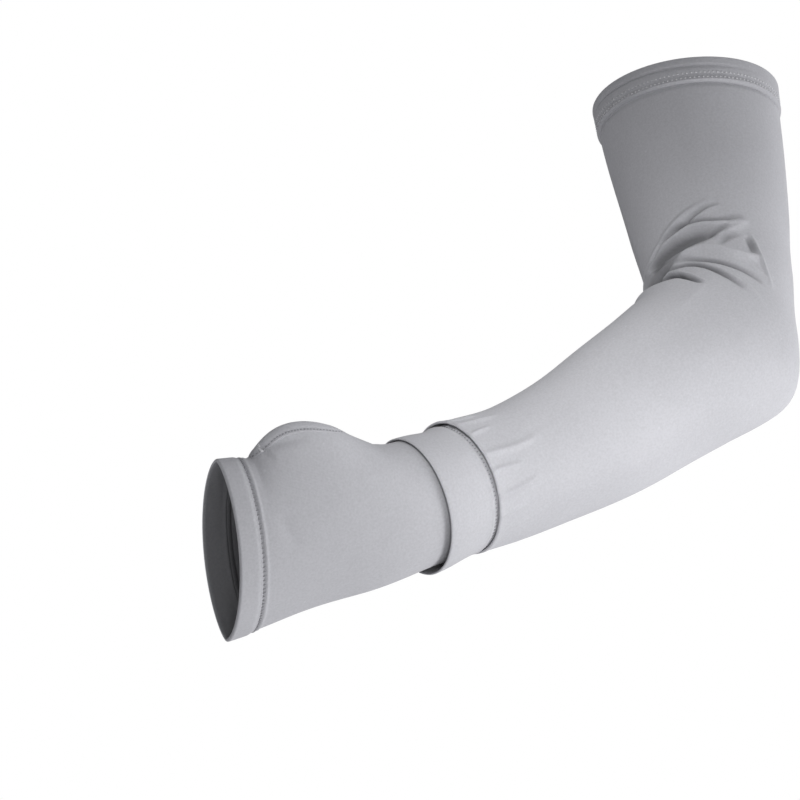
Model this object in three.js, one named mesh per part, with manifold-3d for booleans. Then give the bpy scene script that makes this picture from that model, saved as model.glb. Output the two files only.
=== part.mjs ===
// A knit arm sleeve with a hand cover and a thumb hole, in the bent form that it has when worn.
// Millimetres. The origin is the middle of the upper-arm opening, +Z points out of that opening,
// the forearm leans toward -X and the hand also swings toward -Y.
import * as THREE from "three";
import { ParametricGeometry } from "three/addons/geometries/ParametricGeometry.js";
import { mergeVertices } from "three/addons/utils/BufferGeometryUtils.js";
import Module from "manifold-3d";

// Lengths along the sleeve
const ARM_LENGTH = 337;
const HAND_LENGTH = 131;
const UPPER_HEM_HEIGHT = 16;
const BAND_LENGTH = 29;
const HAND_HEM_LENGTH = 12.5;

// Sizes across the sleeve, over the cloth
const OPENING_WIDTH = 101;
const OPENING_DEPTH = 89;
const WRIST_WIDTH = 67;
const WRIST_DEPTH = 60;
const HAND_OPENING_WIDTH = 88;
const HAND_OPENING_DEPTH = 36.5;

// Cloth, seams and clearances
const CLOTH = 1.1;
const HEM_THICKNESS = 2.2;
const HEM_PROUD = 1;
const SEAM_LAP = 5;
const PIECE_GAP = 0.3;
const BAND_STAND_OFF = 1.9;
const BAND_DROOP = 1.2;
const BAND_DROOP_ANGLE = 155;
const TUBE_END_FLARE = 0.9;

// Folds of the elbow and gathers of the wrist seam. Where they lie is a share of ARM_LENGTH
const FOLDS_FROM = 0.27;
const FOLDS_TO = 0.53;
const GATHERS_FROM = 0.88;
const FOLD_TAPER = 0.7;
const FOLD_HEIGHT = 1.7;
const FOLD_WIDTH = 3.4;
const GATHER_HEIGHT = 0.6;
const GATHER_WIDTH = 2.6;

// Thumb bulge and thumb hole
const THUMB_RISE = 15;
const THUMB_RISE_ANGLE = -8;
const THUMB_RISE_SPREAD = 42;
const THUMB_RISE_FROM = 19.5;
const THUMB_RISE_LENGTH = 64.5;
const THUMB_RISE_LEAD = 0.74;
const THUMB_HOLE_LENGTH = 44;
const THUMB_HOLE_WIDTH = 19;
const THUMB_HOLE_FROM_RIM = 44;
const THUMB_HOLE_ANGLE = -26;
const THUMB_HOLE_CUT_INWARD = 12;
const THUMB_HOLE_CUT_OUTWARD = 30;
const THUMB_HOLE_SIDES = 20;

// Fineness of the faceted cloth
const SIDES = 40;
const CENTRELINE_STEP = 1;
const SHARPEST_TIP = 0.05;
const DEGREE = Math.PI / 180;

const LENGTH = ARM_LENGTH + HAND_LENGTH;

// The arm from the upper opening to the wrist seam. along is a share of ARM_LENGTH, lean and swing
// are the heading's degrees toward -X and -Y, turn is the section's degrees about the heading, and
// width and depth are shares of a straight taper from the upper opening to the wrist.
const ARM_SECTIONS = table(
  ["along", "lean", "swing", "turn", "width", "depth", "point"],
  [
    [0.0, 0, 0, -8, 1.0, 1.0, 0],
    [0.12, 0, 5, -6, 0.993, 0.963, 0],
    [0.25, 3, 14, -5, 0.944, 0.968, 0],
    [0.37, 5, 15, -4, 0.88, 0.908, 0],
    [0.44, 16, 13.5, -5, 0.904, 0.946, 0],
    [0.515, 41, 9.5, -9, 1.175, 1.054, 0],
    [0.59, 55, 3.5, -14, 1.073, 1.1, 0],
    [0.72, 58, 1, -13, 1.038, 1.067, 0],
    [0.85, 67, 1.5, -8, 0.982, 1.009, 0],
    [0.94, 67, 14, 11, 0.997, 1.011, 0],
    [1.0, 64, 19.5, 22, 1.0, 1.0, 0],
  ],
);

// The hand cover from the wrist seam to its rim. along is a share of HAND_LENGTH, and width and
// depth are shares of a straight taper from the wrist to the hand opening. point draws the section's
// two ends out, from 0 for an ellipse toward 1 for a lens.
const HAND_SECTIONS = table(
  ["along", "lean", "swing", "turn", "width", "depth", "point"],
  [
    [0.0, 64, 19.5, 22, 1.0, 1.0, 0],
    [0.21, 65, 17.5, 33, 0.885, 0.975, 0],
    [0.47, 75, 11.5, 44, 0.956, 0.94, 0.05],
    [0.7, 74, 8.5, 46, 0.97, 0.954, 0.15],
    [0.9, 73.5, 12, 43, 1.0, 0.982, 0.3],
    [1.0, 73, 15, 42, 1.0, 1.0, 0.35],
  ],
);

// The elbow's inner crease, the hollow past it, the elbow's outer point, the shallow hollows along
// the arm's inner side and the folds that fan out from the crease. GATHERS below are the faint ones
// at the wrist seam. Each runs between two places: along is a share of ARM_LENGTH, and angle is in
// degrees round the section from its inner side toward -Y. bow is a share of ARM_LENGTH, wide and
// high are shares of the fold or gather size above, and both is 1 where the far side has a like fold.
const FOLDS = table(
  ["along1", "angle1", "along2", "angle2", "bow", "wide", "high", "both"],
  [
    [0.4525, -62, 0.4525, 62, 0, 1.53, -1.24, 0],
    [0.527, -75, 0.527, 75, 0, 4.09, -3.24, 0],
    [0.512, 135, 0.512, 225, 0, 2.2, 1.2, 0],
    [0.193, -80, 0.193, 80, 0, 14.1, -0.82, 0],
    [0.786, -55, 0.786, 95, 0, 17.6, -0.76, 0],
    [0.914, -55, 0.914, 75, 0, 5.9, -1.1, 0],
    [1.027, -70, 1.027, 60, 0, 2.6, -0.76, 0],
    [0.305, -14, 0.29, 24, 0, 0.8, 0.4, 0],
    [0.375, 16, 0.295, 90, -0.012, 1.0, 0.6, 1],
    [0.336, 50, 0.304, 96, 0, 0.8, 0.4, 0],
    [0.41, 14, 0.334, 116, -0.03, 1.2, 1.0, 1],
    [0.396, 50, 0.352, 100, 0, 0.8, -0.6, 1],
    [0.404, 30, 0.4, 122, -0.01, 1.0, 0.8, 1],
    [0.41, 34, 0.446, 128, 0, 0.9, -0.5, 0],
    [0.42, 20, 0.474, 116, 0, 1.0, 0.7, 1],
    [0.436, 22, 0.5, 88, 0, 1.0, 0.6, 1],
  ],
);
const GATHERS = table(
  ["along1", "angle1", "along2", "angle2", "bow", "wide", "high", "both"],
  [
    [1.02, 26, 0.93, 42, 0, 1.0, 1.0, 1],
    [1.02, 50, 0.95, 56, 0, 0.8, 0.8, 0],
    [1.02, 70, 0.89, 90, 0, 1.2, 1.0, 1],
    [1.02, 106, 0.94, 112, 0, 1.0, 0.8, 1],
    [1.02, 140, 0.92, 146, 0, 1.0, 0.7, 0],
    [1.02, 172, 0.86, 178, 0, 1.3, 1.0, 0],
  ],
);

function table(columns, rows) {
  return rows.map((row) => Object.fromEntries(columns.map((name, i) => [name, row[i]])));
}

// A smooth curve through one column of a section table
function columnAt(rows, name, share) {
  const last = rows.length - 2;
  let k = 0;
  while (k < last && share > rows[k + 1].along) {
    k += 1;
  }
  const here = rows[k];
  const next = rows[k + 1];
  const span = next.along - here.along;
  const t = (share - here.along) / span;
  const rise = (next[name] - here[name]) / span;
  const before = k > 0 ? blendedSlope(rows[k - 1], here, next, name) : rise;
  const after = k < last ? blendedSlope(here, next, rows[k + 2], name) : rise;
  const t2 = t * t;
  const t3 = t2 * t;
  return (2 * t3 - 3 * t2 + 1) * here[name] + (t3 - 2 * t2 + t) * span * before
    + (3 * t2 - 2 * t3) * next[name] + (t3 - t2) * span * after;
}

function blendedSlope(a, b, c, name) {
  const ab = b.along - a.along;
  const bc = c.along - b.along;
  return (((b[name] - a[name]) / ab) * bc + ((c[name] - b[name]) / bc) * ab) / (ab + bc);
}

// Heading, turn, half sizes and point of the section at a distance along the sleeve
function sectionAt(distance) {
  const onArm = distance <= ARM_LENGTH;
  const rows = onArm ? ARM_SECTIONS : HAND_SECTIONS;
  const share = onArm ? distance / ARM_LENGTH : (distance - ARM_LENGTH) / HAND_LENGTH;
  const widths = onArm ? [OPENING_WIDTH, WRIST_WIDTH] : [WRIST_WIDTH, HAND_OPENING_WIDTH];
  const depths = onArm ? [OPENING_DEPTH, WRIST_DEPTH] : [WRIST_DEPTH, HAND_OPENING_DEPTH];
  return {
    lean: columnAt(rows, "lean", share) * DEGREE,
    swing: columnAt(rows, "swing", share) * DEGREE,
    turn: columnAt(rows, "turn", share) * DEGREE,
    halfWidth: 0.5 * columnAt(rows, "width", share) * THREE.MathUtils.lerp(...widths, share),
    halfDepth: 0.5 * columnAt(rows, "depth", share) * THREE.MathUtils.lerp(...depths, share),
    point: Math.max(columnAt(rows, "point", share), 0),
  };
}

function headingAt(distance) {
  const { lean, swing } = sectionAt(distance);
  const level = Math.cos(swing);
  return new THREE.Vector3(-Math.sin(lean) * level, -Math.sin(swing), -Math.cos(lean) * level);
}

// The middle of the sleeve, stepped along its heading from the upper opening
const CENTRELINE = buildCentreline();

function buildCentreline() {
  const points = [new THREE.Vector3()];
  for (let i = 1; i <= Math.ceil(LENGTH / CENTRELINE_STEP) + 1; i += 1) {
    const middle = headingAt(Math.min((i - 0.5) * CENTRELINE_STEP, LENGTH));
    points.push(points[i - 1].clone().addScaledVector(middle, CENTRELINE_STEP));
  }
  return points;
}

function centreAt(distance) {
  const step = THREE.MathUtils.clamp(distance / CENTRELINE_STEP, 0, CENTRELINE.length - 1.001);
  const k = Math.floor(step);
  return CENTRELINE[k].clone().lerp(CENTRELINE[k + 1], step - k);
}

// Place, width direction (the arm's inner side) and depth direction (toward -Y) of a section
function frameAt(distance) {
  const section = sectionAt(distance);
  const heading = headingAt(distance);
  const front = new THREE.Vector3(0, -1, 0);
  front.addScaledVector(heading, -front.dot(heading)).normalize();
  const inner = new THREE.Vector3().crossVectors(heading, front);
  const wide = inner.clone().multiplyScalar(Math.cos(section.turn));
  wide.addScaledVector(front, Math.sin(section.turn));
  const deep = front.clone().multiplyScalar(Math.cos(section.turn));
  deep.addScaledVector(inner, -Math.sin(section.turn));
  return { section, heading, wide, deep, centre: centreAt(distance) };
}

function wrapDegrees(angle) {
  return angle - 360 * Math.round(angle / 360);
}

// Height of one fold at a place on the unrolled cloth
function foldHeight(fold, distance, angle, mirrored) {
  const radius = 0.25 * (OPENING_WIDTH + WRIST_WIDTH) * DEGREE;
  const facing = mirrored ? -1 : 1;
  const along = (fold.along2 - fold.along1) * ARM_LENGTH;
  const round = wrapDegrees(fold.angle2 - fold.angle1) * radius;
  const length = Math.hypot(along, round);
  const x = distance - fold.along1 * ARM_LENGTH;
  const y = wrapDegrees(facing * angle - fold.angle1) * radius;
  const t = (x * along + y * round) / (length * length);
  if (t <= 0 || t >= 1) {
    return 0;
  }
  const bow = fold.bow * ARM_LENGTH * Math.sin(Math.PI * t);
  const away = (x * round - y * along) / length - bow;
  const taper = Math.sin(Math.PI * t) ** FOLD_TAPER;
  return fold.high * taper * Math.exp(-((away / (fold.wide * fold.size)) ** 2));
}

function foldsHeight(rows, size, height, distance, angle) {
  let total = 0;
  for (const row of rows) {
    const fold = { ...row, size };
    total += foldHeight(fold, distance, angle, false);
    total += fold.both ? foldHeight(fold, distance, angle, true) : 0;
  }
  return total * height;
}

// How far the cloth stands out over the thumb, drawn along the section's width
function thumbRise(distance, angle) {
  const share = (LENGTH - THUMB_RISE_FROM - distance) / THUMB_RISE_LENGTH;
  if (share <= 0 || share >= 1) {
    return 0;
  }
  const round = wrapDegrees(angle - THUMB_RISE_ANGLE) / THUMB_RISE_SPREAD;
  return THUMB_RISE * Math.sin(Math.PI * share ** THUMB_RISE_LEAD) * Math.exp(-round * round);
}

// A place on the sleeve: distance along it, angle round it and outward distance from its outside
function clothPoint(distance, angle, outward) {
  const { section, wide, deep, centre } = frameAt(distance);
  const c = Math.cos(angle * DEGREE);
  const s = Math.sin(angle * DEGREE);
  const fullness = Math.max(Math.abs(s), SHARPEST_TIP) ** section.point;
  const steepness = section.halfDepth * (1 + section.point) * fullness;
  const normal = new THREE.Vector2(steepness * c, section.halfWidth * s).normalize();
  const folds = foldsHeight(FOLDS, FOLD_WIDTH, FOLD_HEIGHT, distance, angle);
  const gathers = foldsHeight(GATHERS, GATHER_WIDTH, GATHER_HEIGHT, distance, angle);
  const out = outward + folds + gathers;
  const x = section.halfWidth * c + normal.x * out + thumbRise(distance, angle);
  const y = section.halfDepth * s * fullness + normal.y * out;
  return centre.addScaledVector(wide, x).addScaledVector(deep, y);
}

// A closed ring of cloth. Its cut edge is a closed list of [distance along, outward(angle)] pairs
function clothRing(profile) {
  const ring = new ParametricGeometry(
    (u, v, target) => {
      const [distance, outward] = profile[Math.round(v * profile.length) % profile.length];
      const angle = 360 * (Math.round(u * SIDES) % SIDES) / SIDES;
      target.copy(clothPoint(distance, angle, outward(angle, distance)));
    },
    SIDES,
    profile.length,
  );
  ring.deleteAttribute("normal");
  ring.deleteAttribute("uv");
  return mergeVertices(ring, 1e-4);
}

// The cut edge of a plain wall between two distances, with its rings at the distances given
function wallProfile(distances, outer, thickness) {
  const outside = distances.map((d) => [d, outer]);
  const inside = distances.map((d) => [d, (angle, along) => outer(angle, along) - thickness]);
  return [...outside, ...inside.reverse()];
}

function spread(from, to, count) {
  return Array.from({ length: count + 1 }, (_, i) => THREE.MathUtils.lerp(from, to, i / count));
}

// A folded hem: a double wall whose rim is rounded over, between its seam and its rim
function hemProfile(seam, rim) {
  const toward = Math.sign(rim - seam);
  const middle = HEM_PROUD - 0.5 * HEM_THICKNESS;
  const outside = spread(seam, rim - toward * HEM_THICKNESS * 0.5, 2);
  const level = (height) => () => height;
  const inside = [...outside].reverse();
  const rimPoints = [0.25, -0.25].map((share) => [rim, level(middle + share * HEM_THICKNESS)]);
  return [
    ...outside.map((d) => [d, level(HEM_PROUD)]),
    ...rimPoints,
    ...inside.map((d) => [d, level(HEM_PROUD - HEM_THICKNESS)]),
  ];
}

function outwardFacing(geometry) {
  const position = geometry.getAttribute("position");
  const corners = [0, 1, 2].map(() => new THREE.Vector3());
  const index = geometry.getIndex();
  let volume = 0;
  for (let i = 0; i < index.count; i += 3) {
    corners.forEach((corner, k) => corner.fromBufferAttribute(position, index.getX(i + k)));
    volume += corners[0].dot(corners[1].cross(corners[2]));
  }
  if (volume > 0) {
    return geometry;
  }
  for (let i = 0; i < index.count; i += 3) {
    const second = index.getX(i + 1);
    index.setX(i + 1, index.getX(i + 2));
    index.setX(i + 2, second);
  }
  return geometry;
}

// The tube, band and hand cover share their rings where they lie over one another
const LAP_RINGS = spread(ARM_LENGTH - SEAM_LAP, ARM_LENGTH, 2);
const BAND_RINGS = spread(ARM_LENGTH, ARM_LENGTH + BAND_LENGTH, 4).slice(1);

// The rings of the arm tube lie closer together over the elbow's folds
function armTube() {
  const start = UPPER_HEM_HEIGHT + PIECE_GAP;
  const foldsStart = FOLDS_FROM * ARM_LENGTH;
  const foldsEnd = FOLDS_TO * ARM_LENGTH;
  const wristStart = GATHERS_FROM * ARM_LENGTH;
  const distances = [
    ...spread(start, foldsStart, 5).slice(0, -1),
    ...spread(foldsStart, foldsEnd, 20).slice(0, -1),
    ...spread(foldsEnd, wristStart, 7).slice(0, -1),
    ...spread(wristStart, LAP_RINGS[0], 3).slice(0, -1),
    ...LAP_RINGS,
  ];
  const flare = (angle, distance) => {
    const nearEnd = THREE.MathUtils.smoothstep(distance, ARM_LENGTH - 2 * SEAM_LAP, ARM_LENGTH);
    return TUBE_END_FLARE * nearEnd * (0.5 + 0.5 * Math.cos(angle * DEGREE));
  };
  return clothRing(wallProfile(distances, flare, CLOTH));
}

function upperHem() {
  return clothRing(hemProfile(UPPER_HEM_HEIGHT, 0));
}

// The over-cuff comes out from under the tube's end and stands off the hand cover at its free edge
function bandOutside(angle, distance) {
  const share = THREE.MathUtils.smoothstep(distance, ARM_LENGTH, ARM_LENGTH + BAND_LENGTH);
  const underTube = -CLOTH - PIECE_GAP;
  const droop = BAND_DROOP * Math.cos((angle - BAND_DROOP_ANGLE) * DEGREE);
  const freeEdge = BAND_STAND_OFF + droop + CLOTH;
  return THREE.MathUtils.lerp(underTube, freeEdge, share);
}

function wristBand() {
  return clothRing(wallProfile([...LAP_RINGS, ...BAND_RINGS], bandOutside, CLOTH));
}

// Under the band the hand cover follows it, one gap inside, until the band flares away from it
function coverOutside(angle, distance) {
  const underBand = bandOutside(angle, distance) - CLOTH - PIECE_GAP;
  return Math.min(underBand, 0);
}

function handCover(wasm) {
  const start = ARM_LENGTH + BAND_LENGTH;
  const end = LENGTH - HAND_HEM_LENGTH - PIECE_GAP;
  const distances = [...LAP_RINGS, ...BAND_RINGS, ...spread(start, end, 12).slice(1)];
  const cover = clothRing(wallProfile(distances, coverOutside, CLOTH));
  return cutHole(wasm, outwardFacing(cover), thumbHoleCutter());
}

// An oval prism that stands through the cloth where the thumb comes out
function thumbHoleCutter() {
  const distance = LENGTH - THUMB_HOLE_FROM_RIM;
  const place = clothPoint(distance, THUMB_HOLE_ANGLE, 0);
  const out = clothPoint(distance, THUMB_HOLE_ANGLE, 1).sub(place).normalize();
  const forward = headingAt(distance);
  forward.addScaledVector(out, -forward.dot(out)).normalize();
  const across = new THREE.Vector3().crossVectors(out, forward);
  const oval = new THREE.Shape();
  oval.absellipse(0, 0, THUMB_HOLE_LENGTH / 2, THUMB_HOLE_WIDTH / 2, 0, 2 * Math.PI);
  const cutter = new THREE.ExtrudeGeometry(oval, {
    depth: THUMB_HOLE_CUT_INWARD + THUMB_HOLE_CUT_OUTWARD,
    bevelEnabled: false,
    curveSegments: THUMB_HOLE_SIDES,
  });
  const base = place.clone().addScaledVector(out, -THUMB_HOLE_CUT_INWARD);
  cutter.applyMatrix4(new THREE.Matrix4().makeBasis(forward, across, out).setPosition(base));
  return cutter;
}

function cutHole(wasm, body, cutter) {
  const solid = toManifold(wasm, body).subtract(toManifold(wasm, cutter));
  const mesh = solid.getMesh();
  const geometry = new THREE.BufferGeometry();
  geometry.setAttribute("position", new THREE.Float32BufferAttribute(mesh.vertProperties, 3));
  geometry.setIndex(Array.from(mesh.triVerts));
  return geometry;
}

function toManifold(wasm, geometry) {
  const bare = geometry.clone();
  bare.deleteAttribute("normal");
  bare.deleteAttribute("uv");
  const merged = mergeVertices(bare, 1e-4);
  const vertProperties = new Float32Array(merged.getAttribute("position").array);
  const triVerts = new Uint32Array(merged.getIndex().array);
  return new wasm.Manifold(new wasm.Mesh({ numProp: 3, vertProperties, triVerts }));
}

function handHem() {
  return clothRing(hemProfile(LENGTH - HAND_HEM_LENGTH, LENGTH));
}

function knitMaterial(colour) {
  return new THREE.MeshStandardMaterial({ color: colour, roughness: 0.9, metalness: 0 });
}

async function armSleeve() {
  const wasm = await Module();
  wasm.setup();
  const pieces = {
    upper_hem: [upperHem(), 0xb9b9be],
    arm_tube: [armTube(), 0xc4c4c9],
    wrist_band: [wristBand(), 0xc0c0c5],
    hand_cover: [handCover(wasm), 0xbcbcc2],
    hand_hem: [handHem(), 0xb6b6bc],
  };
  const sleeve = new THREE.Group();
  for (const [name, [geometry, colour]] of Object.entries(pieces)) {
    const mesh = new THREE.Mesh(outwardFacing(geometry), knitMaterial(colour));
    mesh.name = name;
    mesh.geometry.computeVertexNormals();
    sleeve.add(mesh);
  }
  return sleeve;
}

export default await armSleeve();
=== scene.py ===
# %% [markdown]
# # A knit arm sleeve with a hand cover
# The real sleeve is one thin tube of stretch knit from the upper arm to the knuckles, bent as it is
# when worn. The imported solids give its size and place. Each one is soft, so each is replaced here by
# a finer piece of cloth with its folds, hems and stitches, and all of them share one frame in metres.

import bmesh
import bpy
import numpy as np
from mathutils import Matrix, Vector


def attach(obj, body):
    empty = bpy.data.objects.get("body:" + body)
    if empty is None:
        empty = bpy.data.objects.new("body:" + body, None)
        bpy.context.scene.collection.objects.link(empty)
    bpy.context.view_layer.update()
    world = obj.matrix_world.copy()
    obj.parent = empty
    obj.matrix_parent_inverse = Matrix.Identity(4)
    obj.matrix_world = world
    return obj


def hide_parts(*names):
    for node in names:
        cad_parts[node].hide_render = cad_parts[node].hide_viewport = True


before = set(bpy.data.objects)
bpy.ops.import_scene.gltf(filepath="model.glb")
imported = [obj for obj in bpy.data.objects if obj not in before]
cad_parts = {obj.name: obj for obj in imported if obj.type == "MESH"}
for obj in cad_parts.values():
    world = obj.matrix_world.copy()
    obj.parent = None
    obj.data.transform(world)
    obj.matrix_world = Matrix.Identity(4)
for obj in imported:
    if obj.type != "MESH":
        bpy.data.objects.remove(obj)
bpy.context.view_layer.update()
MM = 0.001
print("solids:", ", ".join(sorted(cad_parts)))

# %% [markdown]
# ## The arm inside the cloth
# A sleeve takes the shape of the arm in it: an oval that changes from the upper arm to the hand, set
# along a bent middle line. It could be sculpted, but a table of a few ovals with a smooth curve through
# them is easier to steer. These are the sizes that the solids were made from.

# %% Sizes of the sleeve
ARM_LENGTH = 337 * MM
HAND_LENGTH = 131 * MM
LENGTH = ARM_LENGTH + HAND_LENGTH
OPENING = (101 * MM, 89 * MM)
WRIST = (67 * MM, 60 * MM)
HAND_OPENING = (88 * MM, 36.5 * MM)
HEM_HEIGHT = 16 * MM
BAND_LENGTH = 29 * MM
CLOTH = 1.1 * MM
HEM_THICKNESS = 2.2 * MM
HEM_PROUD = 1.0 * MM
LAP = 5 * MM
GAP = 0.3 * MM

# share of the arm, lean, swing and turn in degrees, width and depth as shares of a plain taper, point
ARM_OVALS = np.array([
    [0.0, 0, 0, -8, 1.0, 1.0, 0],
    [0.12, 0, 5, -6, 0.993, 0.963, 0],
    [0.25, 3, 14, -5, 0.944, 0.968, 0],
    [0.37, 5, 15, -4, 0.88, 0.908, 0],
    [0.44, 16, 13.5, -5, 0.904, 0.946, 0],
    [0.515, 41, 9.5, -9, 1.175, 1.054, 0],
    [0.59, 55, 3.5, -14, 1.073, 1.1, 0],
    [0.72, 58, 1, -13, 1.038, 1.067, 0],
    [0.85, 67, 1.5, -8, 0.982, 1.009, 0],
    [0.94, 67, 14, 11, 0.997, 1.011, 0],
    [1.0, 64, 19.5, 22, 1.0, 1.0, 0],
])
HAND_OVALS = np.array([
    [0.0, 64, 19.5, 22, 1.0, 1.0, 0],
    [0.21, 65, 17.5, 33, 0.885, 0.975, 0],
    [0.47, 75, 11.5, 44, 0.956, 0.94, 0.05],
    [0.7, 74, 8.5, 46, 0.97, 0.954, 0.15],
    [0.9, 73.5, 12, 43, 1.0, 0.982, 0.3],
    [1.0, 73, 15, 42, 1.0, 1.0, 0.35],
])
print("sleeve: %.0f mm along its middle" % (LENGTH / MM))

# %% [markdown]
# ### A smooth curve through a table
# Each column of a table is a row of posts, and the curve between two posts leaves each of them at the
# blended slope of its two sides, so that no post shows as a corner in the cloth.

# %% Smooth columns
def smooth_column(rows, column, share):
    x, y = rows[:, 0], rows[:, column]
    span = np.diff(x)
    rise = np.diff(y) / span
    inner = (rise[:-1] * span[1:] + rise[1:] * span[:-1]) / (span[:-1] + span[1:])
    slope = np.concatenate([rise[:1], inner, rise[-1:]])
    k = np.clip(np.searchsorted(x, share, side="right") - 1, 0, len(x) - 2)
    t = (share - x[k]) / span[k]
    t2, t3 = t * t, t * t * t
    return ((2 * t3 - 3 * t2 + 1) * y[k] + (t3 - 2 * t2 + t) * span[k] * slope[k]
            + (3 * t2 - 2 * t3) * y[k + 1] + (t3 - t2) * span[k] * slope[k + 1])


def oval_value(column, distance):
    on_arm = smooth_column(ARM_OVALS, column, np.minimum(distance / ARM_LENGTH, 1))
    on_hand = smooth_column(HAND_OVALS, column, np.maximum((distance - ARM_LENGTH) / HAND_LENGTH, 0))
    return np.where(distance <= ARM_LENGTH, on_arm, on_hand)


def smooth_step(low, high, value):
    t = np.clip((value - low) / (high - low), 0, 1)
    return t * t * (3 - 2 * t)


# %% [markdown]
# ### The middle line and the ovals on it
# The heading turns down the arm, and stepping along it a millimetre at a time draws the middle line.

# %% Middle line and ovals
def unit(vectors):
    return vectors / np.linalg.norm(vectors, axis=-1, keepdims=True)


def heading_at(distance):
    lean, swing = (np.radians(oval_value(c, distance)) for c in (1, 2))
    level = np.cos(swing)
    return np.stack([-np.sin(lean) * level, -np.sin(swing), -np.cos(lean) * level], axis=-1)


STEP = 1 * MM
steps = np.minimum((np.arange(int(round(LENGTH / STEP)) + 1) + 0.5) * STEP, LENGTH)
MIDDLE_LINE = np.vstack([np.zeros(3), np.cumsum(heading_at(steps) * STEP, axis=0)])
MIDDLE_AT = np.arange(len(MIDDLE_LINE)) * STEP


def centre_at(distance):
    return np.stack([np.interp(distance, MIDDLE_AT, MIDDLE_LINE[:, k]) for k in range(3)], axis=-1)


def oval_axes(distance):
    """The width direction, toward the arm's inner side, and the depth direction, toward -Y."""
    heading = heading_at(distance)
    toward_viewer = np.array([0.0, -1.0, 0.0])
    front = unit(toward_viewer - heading * (heading @ toward_viewer)[..., None])
    inner = np.cross(heading, front)
    turn = np.radians(oval_value(3, distance))[..., None]
    return inner * np.cos(turn) + front * np.sin(turn), front * np.cos(turn) - inner * np.sin(turn)


def half_sizes(distance):
    share = np.where(distance <= ARM_LENGTH, distance / ARM_LENGTH, (distance - ARM_LENGTH) / HAND_LENGTH)
    halves = []
    for column, a, b, c in zip((4, 5), OPENING, WRIST, HAND_OPENING):
        taper = np.where(distance <= ARM_LENGTH, a + (b - a) * share, b + (c - b) * share)
        halves.append(0.5 * taper * oval_value(column, distance))
    return halves


# %% [markdown]
# ## Folds of the elbow
# Where the arm bends, the knit is pushed together on the inner side, and folds fan out from there.
# Cloth simulation would give folds, but not these ones. So each fold is drawn as a short line on the
# unrolled cloth: places as (mm from the upper rim, degrees round), then how wide it is toward the
# shoulder and toward the hand, and how high it stands in mm. A fold below zero is a valley.

# %% Table of folds
BROAD_SHAPE = [
    # the arm's inner side is a little hollow above the elbow, along the forearm and at the wrist
    ([(65, -80), (65, 80)], 48, 48, -1.4, 0.7),
    ([(265, -55), (265, 95)], 60, 60, -1.3, 0.7),
    ([(308, -55), (308, 75)], 20, 20, -1.9, 0.7),
    ([(346, -70), (346, 60)], 9, 9, -1.3, 0.7),
]
FOLDS = [
    # the deep crease on the inner side, the hollow just past it, and the elbow's outer point
    ([(152.5, -62), (152.5, 62)], 5.2, 5.2, -2.1, 0.7),
    ([(177.6, -75), (177.6, 75)], 13.9, 13.9, -5.5, 0.7),
    ([(172.5, 135), (172.5, 225)], 7.5, 7.5, 2.0, 0.7),
    # the fan in front, from the shoulder side to the hand side
    ([(103, -3), (102, 8), (98, 15)], 0.9, 0.9, 0.4, 0.7),
    ([(121, 2), (122, 10), (121, 20), (117, 34), (112, 46), (107, 60), (104, 70), (101, 82)],
     2.0, 3.0, 1.3, 0.6),
    ([(117, 34), (113, 50), (112, 60), (108, 70), (105, 78), (103, 88)], 1.1, 1.1, -0.9, 0.7),
    ([(113, 50), (112, 62), (109, 72), (104, 88)], 1.5, 2.2, 0.7, 0.7),
    ([(118, 34), (116, 46), (114, 54), (113, 62), (113, 72), (114, 84), (113, 94), (111, 104)],
     1.2, 1.2, -1.1, 0.6),
    ([(124, 3), (126, 12), (125, 26), (120, 40), (118, 52), (116, 62), (116, 70), (117, 80),
      (117, 92), (114, 108)],
     1.5, 2.3, 1.7, 0.5),
    ([(130, 16), (126, 40), (124, 54), (123, 66), (123, 82)], 3.0, 3.6, -1.9, 0.6),
    ([(124, 74), (121, 82), (118, 92)], 0.9, 0.9, -0.9, 0.8),
    ([(129, 68), (125, 82), (121, 92), (117, 104)], 1.4, 1.8, 1.0, 0.7),
    ([(131, 80), (126, 89), (123, 98)], 1.5, 1.5, -0.7, 0.8),
    ([(135, 26), (135, 40), (134, 48), (133, 56), (132, 66), (133, 76), (135, 84), (137, 92),
      (137, 101), (136, 113)],
     0.9, 3.4, 1.8, 0.35),
    ([(135, 109), (130, 108), (124, 105)], 2.4, 2.4, -0.9, 0.8),
    ([(122, 107), (127, 110), (132, 112), (138, 115), (143, 118), (151, 124)], 1.3, 1.3, 1.0, 0.6),
    ([(130, 4), (130, 28), (131, 40), (130, 56)], 0.8, 0.8, 0.7, 0.6),
    ([(133, 84), (138, 96), (142, 106), (145, 114), (150, 122)], 0.9, 0.9, 0.5, 0.6),
    ([(137, 44), (138, 54), (141, 66), (143, 76), (145, 86), (147, 97), (149, 106), (151, 114)],
     1.3, 1.3, -1.1, 0.6),
    ([(141, 28), (140, 40), (141, 46), (142, 54), (144, 62), (147, 70), (150, 77), (153, 84),
      (156, 92), (159, 100)],
     1.0, 1.6, -1.3, 0.6),
    ([(146, 66), (149, 77), (152, 88), (156, 101), (161, 114)], 0.9, 1.5, 0.7, 0.6),
    ([(143, 22), (146, 36), (151, 47), (159, 59), (165, 73)], 1.3, 2.0, -1.8, 0.6),
    ([(149, -4), (143, 16), (138, 34), (133, 52)], 4.0, 2.2, -1.2, 0.6),
    ([(141, 32), (146, 46), (154, 58), (162, 70), (166, 82)], 0.9, 0.9, 0.7, 0.6),
]
print("folds: %d" % len(FOLDS))

# %% [markdown]
# ### Folds elsewhere
# The wrist seam gathers the knit a little, and the end of the thumb hole pulls fine wrinkles into the
# hand. The fan's folds are raised by fixed shares, so that they show as they do on the real sleeve. The
# far side of the elbow has a like fan, lower and shifted, since no two sides fold alike.

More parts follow.
